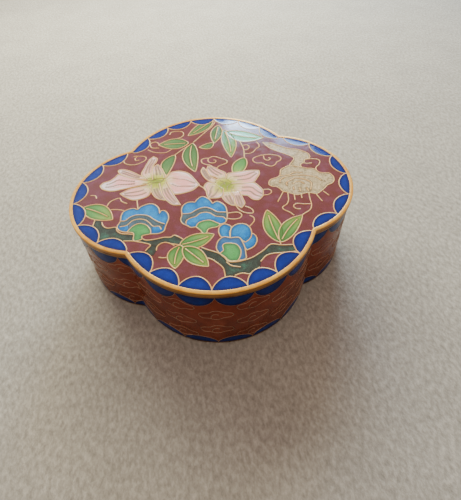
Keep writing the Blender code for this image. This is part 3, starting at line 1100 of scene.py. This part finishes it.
# %% List the cells of the right lily
right_lily = [
    ([(0.6, 0.6), (1.6, 3.4), (4.6, 4.2), (6.8, 2.6), (7.4, -0.6)],
     [(0.6, 0.6), (1.2, -2.6), (3.8, -4.4), (6.8, -3.6), (7.4, -0.6)]),
    ([(0.5, 1.5), (-1.6, 3.4), (-2.8, 5.8), (-3.2, 8.2), (-2.4, 9.9)],
     [(1.5, 3), (-0.6, 5.2), (-1.3, 7.6), (-2.4, 9.9)]),
    ([(2.2, 3.4), (-0.4, 5.6), (-1.3, 8.2), (-0.7, 10.3)],
     [(4.6, 3.2), (4.6, 5.9), (3, 7.5), (1.2, 9.3), (-0.7, 10.3)]),
    ([(4.4, 3), (5.2, 5.3), (8.4, 5.6), (12.4, 5.8), (15.8, 5.3)],
     [(6, 0.6), (9.6, -0.2), (13, -0.1), (14.3, 1.4), (15.7, 3.6), (15.8, 5.3)]),
    ([(6.2, 0.4), (9.6, 0), (13, -0.3), (14.3, -2), (15.3, -4.6), (14.8, -6.8)],
     [(6.4, -3), (8.2, -5.2), (10.2, -5.9), (11.4, -7.7), (13.2, -8.2), (14.8, -6.8)]),
    ([(1.6, -3), (2.2, -5.6), (3.1, -7.5), (4.4, -9), (5.6, -9.5)],
     [(5.6, -3.5), (5.8, -6.5), (5.6, -9.5)]),
    ([(5.2, -3.4), (5.8, -6.4), (6, -9), (7.4, -10.8)],
     [(8, -3.6), (8.4, -6.6), (8.7, -9), (7.4, -10.8)]),
    ([(0.6, 1.6), (-1.5, 2.2), (-2.9, 0.6), (-2.5, -1.2), (-2.4, -3.6), (-2, -5.1)],
     [(3, -1.5), (2.6, -4.5), (1.2, -5.4), (-2, -5.1)]),
]


# %% Draw both lilies
FAR_FROM_WIRES = 9.0


def draw_lily(throat, cells):
    """A lily's throat, which has no wire of its own, and then its petals in order."""
    sheets = []
    for step, sides in enumerate(cells):
        a, b = [smooth_line(points) for points in sides]
        is_throat = step == 0
        folds = []
        if not is_throat:
            near, far = even_steps(a, 40), even_steps(b, 40)
            folds = [(near + share * (far - near))[10:34:2] for share in (0.36, 0.66)]
        sheets.append(draw_cell(a, b, 0.050 + 0.004 * step, not is_throat, dish=0.002, heart=throat,
                                bare=FAR_FROM_WIRES if is_throat else 0.0, rows=18, inner=folds))
        fine_lines.extend(folds)
    return sheets


lilies = draw_lily((-18.2, 5.2), left_lily) + draw_lily((4.0, 0.0), right_lily)
stamens = [
    [(-21.4, 6.6), (-19.6, 6.0), (-17.8, 6.6)], [(-20.2, 3.6), (-19.0, 4.8), (-17.2, 5.0)],
    [(-17.2, 3.0), (-17.0, 4.6), (-15.6, 6.2)], [(-22.6, 5.0), (-20.8, 4.8), (-19.4, 5.4)],
    [(2.0, -1.8), (2.6, 0.2), (4.4, 1.6)], [(4.2, -2.6), (4.4, -0.8), (6.0, 0.4)],
    [(2.4, 2.4), (3.6, 1.4), (3.8, 0.2)], [(5.4, -3.4), (5.6, -1.8), (6.8, -0.8)],
]
fine_lines.extend(smooth_line(stamen) for stamen in stamens)
join_cells("lid_lilies", lilies, lily_pink)

# %% [markdown]
# ## Blue blossoms
#
# Two blossoms have a scalloped edge and bands of sky blue and grey blue below it, with a wire
# between the bands and a green cup at the bottom. The whole flower is laid in sky blue first, and
# the grey band and the cup are laid over it a little higher, which keeps the bands' edges together.
# The third is seen from the side: three petals of sky blue above a duskier bell with a green heart.

# %% Mix the blues
sky = plain_enamel("sky_enamel", [(0.006, 0.115, 0.39), (0.006, 0.18, 0.51), (0.014, 0.25, 0.59)],
                   cloud=0.4, edge=(0.020, 0.075, 0.17), edge_width=0.8, grains=0.4)
dusk = plain_enamel("dusk_enamel", [(0.030, 0.10, 0.25), (0.040, 0.135, 0.32), (0.050, 0.17, 0.38)],
                    cloud=0.4, edge=(0.045, 0.07, 0.13), edge_width=0.8, grains=0.4)
haze = plain_enamel("haze_enamel", [(0.055, 0.085, 0.11), (0.065, 0.11, 0.14), (0.070, 0.14, 0.22)],
                    cloud=0.4, edge=(0.065, 0.062, 0.06), edge_width=0.6, grains=0.5)
cup_green = plain_enamel("cup_enamel", [(0.055, 0.25, 0.07), (0.080, 0.32, 0.085), (0.12, 0.37, 0.12)],
                         edge=(0.050, 0.125, 0.055), edge_width=0.9, grains=0.5)
print("blues and cup green mixed")


# %% Draw the two banded blossoms
def lobes_of(*lobes):
    """One line through several lobes, with a sharp notch between them."""
    return np.vstack([smooth_line(lobe) for lobe in lobes])


def draw_blossom(edge, upper, lower, cup_top, cup_foot, shaded):
    """A blossom's sky, haze and cup cells, and its wires. The shaded part has no wire of its own."""
    body = draw_cell(edge, cup_top, 0.050, dish=0.012)
    corner = [smooth_line(side) for side in shaded]
    bands = [draw_cell(*corner, 0.055, False, dish=0.004, bare=0.3)]
    bands.append(draw_cell(upper, lower, 0.058, dish=0.004))
    cup = draw_cell(cup_top, cup_foot, 0.064, dish=0.004)
    return body, bands, cup


blossoms = [
    draw_blossom(
        lobes_of([(-26.7, -15.05), (-27.8, -14.8), (-29.1, -14), (-29.7, -12.4), (-28.9, -10.6),
                  (-28.8, -8.6), (-28.2, -6.8), (-26.6, -5.9), (-25.1, -5.8), (-23.9, -6.5)],
                 [(-23.9, -6.5), (-23.1, -5.5), (-21.6, -4.8), (-19.8, -4.6), (-18.4, -5.5),
                  (-17.5, -7.1), (-17.3, -9.2)],
                 [(-17.3, -9.2), (-16.9, -8.1), (-15.7, -8.3), (-14.8, -9.8), (-14.7, -11.8),
                  (-15.3, -13.6), (-15.7, -14.8), (-16.1, -16.2), (-17.5, -17), (-20, -16.8)]),
        smooth_line([(-28.9, -10.4), (-27.5, -10.5), (-26.1, -9.3), (-24.5, -8.7), (-22.5, -8.9),
                     (-20.7, -9.6), (-19.2, -11.1), (-17.8, -12.4), (-15.9, -13.6)]),
        smooth_line([(-28.9, -12.7), (-26.9, -12.4), (-25.4, -10.9), (-23.6, -10.5),
                     (-21.6, -11.1), (-20.4, -12.4), (-19.2, -14), (-17.5, -14.3), (-16.9, -15.6)]),
        smooth_line([(-26.7, -15.05), (-25.7, -13.6), (-24.5, -12.6), (-23.1, -12.3),
                     (-21.6, -12.9), (-20.7, -13.9), (-20, -15.4), (-20, -16.8)]),
        smooth_line([(-26.7, -15.05), (-24.9, -15.8), (-24.7, -18.6), (-22.5, -18.4),
                     (-22.4, -17.2), (-20, -16.8)], 0.25),
        [[(-26.6, -12.4), (-25.2, -10.9), (-23.6, -10.5), (-21.6, -11.1), (-20.4, -12.4), (-19.2, -14)],
         [(-26.3, -14.3), (-24.5, -12.7), (-23.1, -12.4), (-21.6, -13), (-20.7, -14.1), (-19.9, -15.6)]]),
    draw_blossom(
        lobes_of([(-6.9, -16.2), (-8.35, -16.2), (-9.5, -15.2), (-10.7, -14.2), (-11.15, -12.7),
                  (-10.7, -10.9), (-10.7, -8.6), (-10, -6.8), (-8.65, -5.9), (-7.2, -5.9),
                  (-6.4, -6.2)],
                 [(-6.4, -6.2), (-5.7, -5.1), (-4.2, -4), (-2.8, -4.6), (-1.6, -6.2), (-1.15, -7.6)],
                 [(-1.15, -7.6), (0.2, -6.8), (1.65, -7.7), (2.7, -9.5), (2.8, -11.8),
                  (2.5, -14.2), (1.65, -15.9), (0.2, -16.3)]),
        smooth_line([(-10.5, -10.4), (-8.1, -10.5), (-6.6, -9.6), (-4.8, -8.9), (-3.1, -8.9),
                     (-1.6, -9.8), (-0.1, -11.2), (2.6, -11.8)]),
        smooth_line([(-9.7, -14.5), (-9.4, -13.3), (-8.35, -12.6), (-6.6, -12.1), (-5.4, -11.1),
                     (-3.65, -10.9), (-2.2, -11.5), (-0.7, -13), (1.35, -13.6), (2.2, -14.8)]),
        smooth_line([(-6.9, -16.2), (-6, -14.8), (-4.2, -14.2), (-2.5, -14.3), (-1, -15.35),
                     (0.2, -16.3)]),
        smooth_line([(-6.9, -16.2), (-5.7, -17.7), (-5.1, -18.9), (-4.2, -19), (-3.5, -17.7),
                     (-2.5, -17.3), (-0.7, -17.1), (0.2, -16.3)], 0.25),
        [[(-10.4, -10.7), (-10.9, -12.7), (-10.5, -13.9), (-9.7, -14.6)],
         [(-10.4, -10.7), (-9.7, -11.9), (-9.3, -13.4), (-9.7, -14.6)]]),
]
skies = [body for body, _, _ in blossoms]
hazes = [band for _, bands, _ in blossoms for band in bands]
cups = [cup for _, _, cup in blossoms]
print(len(skies + hazes + cups), "cells in the two blossoms")

# %% Draw the third blossom from the side
side_petals = [
    ([(-0.4, -20.6), (-0.6, -18.9), (0, -17.1), (1.35, -16.4), (2.8, -17.1)],
     [(-0.4, -20.6), (0.6, -21.9), (2.2, -21.8), (2.5, -19.8), (3.3, -17.9), (2.8, -17.1)]),
    ([(8.1, -22.1), (8.85, -21.2), (9.7, -22.4), (9.6, -24.2), (8.4, -25.9), (6.35, -26.8)],
     [(8.1, -22.1), (6.4, -22.6), (5.4, -24.4), (6.35, -26.8)]),
    ([(2.4, -21.8), (2.7, -19.8), (3.1, -18.5), (4.2, -17.4), (5.9, -16.95), (7.5, -17.5), (8.4, -18.6),
      (8.75, -19.9)],
     [(2.4, -21.8), (4.9, -22.3), (5.8, -23.6), (6.35, -24), (7.8, -23), (8.6, -21.5), (8.75, -19.9)]),
]
for sides in side_petals:
    skies.append(draw_cell(smooth_line(sides[0]), smooth_line(sides[1]), 0.050, dish=0.01))

bell_left = smooth_line([(2.4, -21.8), (0.8, -21.2), (-0.6, -21.8), (-1.6, -23.3), (-1.9, -25.1),
                         (-1.2, -26.8), (0.2, -28.6), (2.4, -29.9)])
bell_right = smooth_line([(2.4, -21.8), (4.9, -22.1), (5.5, -23.6), (5.9, -25.9), (5.8, -27.7),
                          (5.5, -29.6), (2.4, -29.9)])
heart_left = smooth_line([(2.2, -23.7), (0.6, -23.6), (-0.1, -24.2), (-0.1, -25.9), (-1.1, -26.8),
                          (-0.1, -28), (1.1, -29.6), (3.0, -29.9)])
heart_right = smooth_line([(2.2, -23.7), (3.7, -24.3), (4.6, -26.2), (4.4, -28), (3.4, -29.8),
                           (3.0, -29.9)])
bell = [draw_cell(bell_left, bell_right, 0.056, dish=0.004)]
cups.append(draw_cell(heart_left, heart_right, 0.064, dish=0.004))
join_cells("lid_blossom_bell", bell, dusk)
join_cells("lid_blossom_sky", skies, sky)
join_cells("lid_blossom_haze", hazes, haze)
join_cells("lid_blossom_cups", cups, cup_green)

# %% [markdown]
# ## The border of scallops
#
# Blue scallops hang from the rim all round the lid. Each is an arch of wire that stands on the rim,
# with cobalt enamel in it that is darker towards the wire. The maker bent every arch by hand, so
# those at the front, the sides and the back differ in width and depth. They are drawn in millimetres
# along the rim and in from it, so that one arch serves for all of them. A short gap stays free at
# each notch. They come last, because they cut off whatever of the picture reaches the border.

# %% Mix the cobalt
cobalt = plain_enamel("cobalt_enamel",
                      [(0.0012, 0.016, 0.17), (0.0018, 0.020, 0.215), (0.0040, 0.030, 0.27)],
                      edge=(0.002, 0.007, 0.075), edge_width=0.9, grains=0.4)
# The wall's cobalt is the lid's cobalt painted darker, as painted shade, because the wall faces away from
# the light and lies under the rim's overhang.
shaded_wall_cobalt = plain_enamel("wall_cobalt_enamel",
                           [(0.0030, 0.013, 0.10), (0.0040, 0.018, 0.135), (0.0070, 0.028, 0.19)],
                           edge=(0.002, 0.007, 0.05), edge_width=0.9, grains=0.3, roughness=0.2,
                           gloss=0.08)


# %% Draw an arch, and stand it all round the lid
def arch(start, end, base, height, steps=24):
    """A scallop's base line and its arch, as (distance, height) points."""
    turn = np.linspace(0.0, math.pi, steps + 1)
    along = (start + end) / 2 - (end - start) / 2 * np.cos(turn)
    up = base + height * np.sin(turn).clip(0.0) ** 1.25
    return np.column_stack([along, np.full(steps + 1, base)]), np.column_stack([along, up])


ONCE_ROUND = LID_TRACK[-1]
front_feet = [4.6, 13.25, 22.15, 31.15]
side_feet = [32.75, 42.1, 51.75, 61.45, 71.1, 80.9, 90.4]
back_feet = [92.3, 101.5, 110.65, 120.2]
spans = [(-4.6, 4.6, 3.9), (120.2, ONCE_ROUND - 120.2, 3.6)]
for feet, right_depth, left_depth in ((front_feet, 3.9, 3.9), (side_feet, 3.3, 3.6),
                                      (back_feet, 3.5, 3.5)):
    for start, end in zip(feet, feet[1:]):
        spans.append((start, end, right_depth))
        spans.append((ONCE_ROUND - end, ONCE_ROUND - start, left_depth))

BASE_INSET = 1.08
scallops = []
for start, end, deep in spans:
    base, top = arch(start, end, BASE_INSET, deep)
    inner = border(top[:, 0], top[:, 1], LID_TRACK)
    outer = border(base[:, 0], base[:, 1], LID_TRACK)
    hide_under(picture_lines, np.vstack([outer, inner[::-1]]))
    scallops.append(fill_cell(outer, inner, on_lid, 0.085, dish=0.03))
    border_lines.append(inner)
join_cells("lid_scallops", scallops, cobalt)

# %% [markdown]
# ## The wires of the lid
#
# The wires are flat ribbon, soldered on edge, ground level with the glass and gilded at the end, so
# only a rounded top edge shows. Round tubes that are sunk more than halfway into the enamel show the
# same edge. A curve with a bevel makes all of them at once and is then turned into a mesh.

# %% Lay them
gilt = metal("gilt_wire", (1.0, 0.62, 0.22), (0.95, 0.47, 0.13), 0.38, 0.3, 0.3)[0]
fine_gilt = metal("fine_gilt_wire", (0.42, 0.27, 0.13), (0.25, 0.17, 0.085), 0.42, 0.3, 0.4)[0]
lay_wires("lid_border_wires", border_lines, on_lid, 0.46, gilt)
lay_wires("lid_picture_wires", picture_lines, on_lid, 0.42, gilt)
lay_wires("lid_fine_wires", fine_lines, on_lid, 0.26, fine_gilt, 1)

# %% [markdown]
# ## The wall
#
# The wall repeats the border: cobalt scallops hang from the mouth and rise from the foot, in line
# with one another. Between them clouds stand in columns, one column half a step above the next, and
# the scallops cut off the clouds that they meet. All of it is drawn flat and bent round the box.

# %% Draw the wall's clouds
CLOUD_EDGE = [(-0.5, -0.02), (-0.45, 0.18), (-0.3, 0.25), (-0.2, 0.28), (-0.1, 0.46), (0.02, 0.5),
              (0.14, 0.42), (0.28, 0.27), (0.44, 0.18), (0.5, -0.04), (0.42, -0.24), (0.22, -0.32),
              (0.1, -0.46), (-0.02, -0.5), (-0.14, -0.42), (-0.22, -0.36), (-0.4, -0.34),
              (-0.5, -0.02)]
CLOUD_CURL = [(-0.15, -0.38), (-0.14, -0.12), (-0.07, 0.07), (0.02, 0.10), (0.07, 0.02)]
COLUMNS = 24
PITCH = WALL_TRACK[-1] / COLUMNS
FIRST_FOOT = -4.2
wall_lines = []


def draw_cloud(centre, width, height):
    """A cloud's edge and its curl, stretched to a width and a height."""
    wall_lines.append(smooth_line(np.array(CLOUD_EDGE) * (width, height) + centre))
    wall_lines.append(smooth_line(np.array(CLOUD_CURL) * (width, height) + centre))


for k in range(COLUMNS):
    middle = FIRST_FOOT + k * PITCH
    levels = (20.9, 13.2, 5.3) if k % 2 else (17.6, 9.4)
    for level in levels:
        draw_cloud((middle, level), 9.7, 4.6)
print(len(wall_lines), "lines of cloud on the wall")

# %% Draw the wall's scallops, and lay its wires
# Each row is the level that its arches start from, and how far they reach up from it, or down.
HANGING = (26.95, -4.7)
STANDING = (1.1, 3.2)
wall_scallops = []
for k in range(COLUMNS):
    start = FIRST_FOOT + k * PITCH
    for level, height in (HANGING, STANDING):
        base, top = arch(start, start + PITCH, level, height)
        for shift in (0.0, -WALL_TRACK[-1]):
            hide_under(wall_lines, np.vstack([base, top[::-1]]) + (shift, 0.0))
        wall_scallops.append(fill_cell(base, top, on_wall, 0.05))
        wall_lines.append(top)
join_cells("wall_scallops", wall_scallops, shaded_wall_cobalt)
# The wall's wires are the gilt painted darker and greyer, as painted shade, since the wall lies in shade.
shaded_wall_gilt = metal("wall_gilt_wire", (0.38, 0.22, 0.14), (0.26, 0.14, 0.085), 0.45, 0.3, 0.6)[0]
lay_wires("wall_wires", wall_lines, on_wall, 0.30, shaded_wall_gilt, 1, 0.07)
